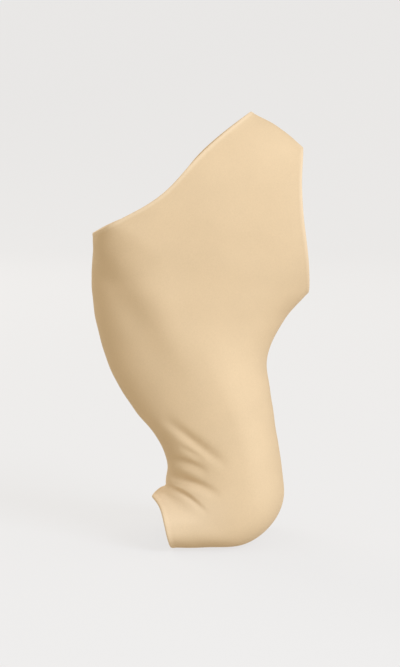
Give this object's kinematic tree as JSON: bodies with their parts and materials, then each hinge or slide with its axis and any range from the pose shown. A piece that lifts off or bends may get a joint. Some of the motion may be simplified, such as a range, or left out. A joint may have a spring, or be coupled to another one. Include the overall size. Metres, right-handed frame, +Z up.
{
  "type": "gel instep pad",
  "caption": "Stretch-fabric foot sleeve, open at ankle, heel and toes, with a gel pad held over the instep, in the shape it takes when worn on tiptoe.",
  "frame": {"origin": "middle of the ankle opening, where the foot goes in", "axes": "+Z up along the leg, -X towards the toes, +X towards the heel, -Y the inner side of the foot"},
  "size_m": [0.1077, 0.0947, 0.2133],
  "materials": {
    "stretch_fabric": "smooth fine knit, matt, beige",
    "gel": "soft translucent gel, satin, milky"
  },
  "bodies": {
    "root": {"sleeve": "stretch_fabric", "gel_pad": "gel"}
  },
  "joints": []
}
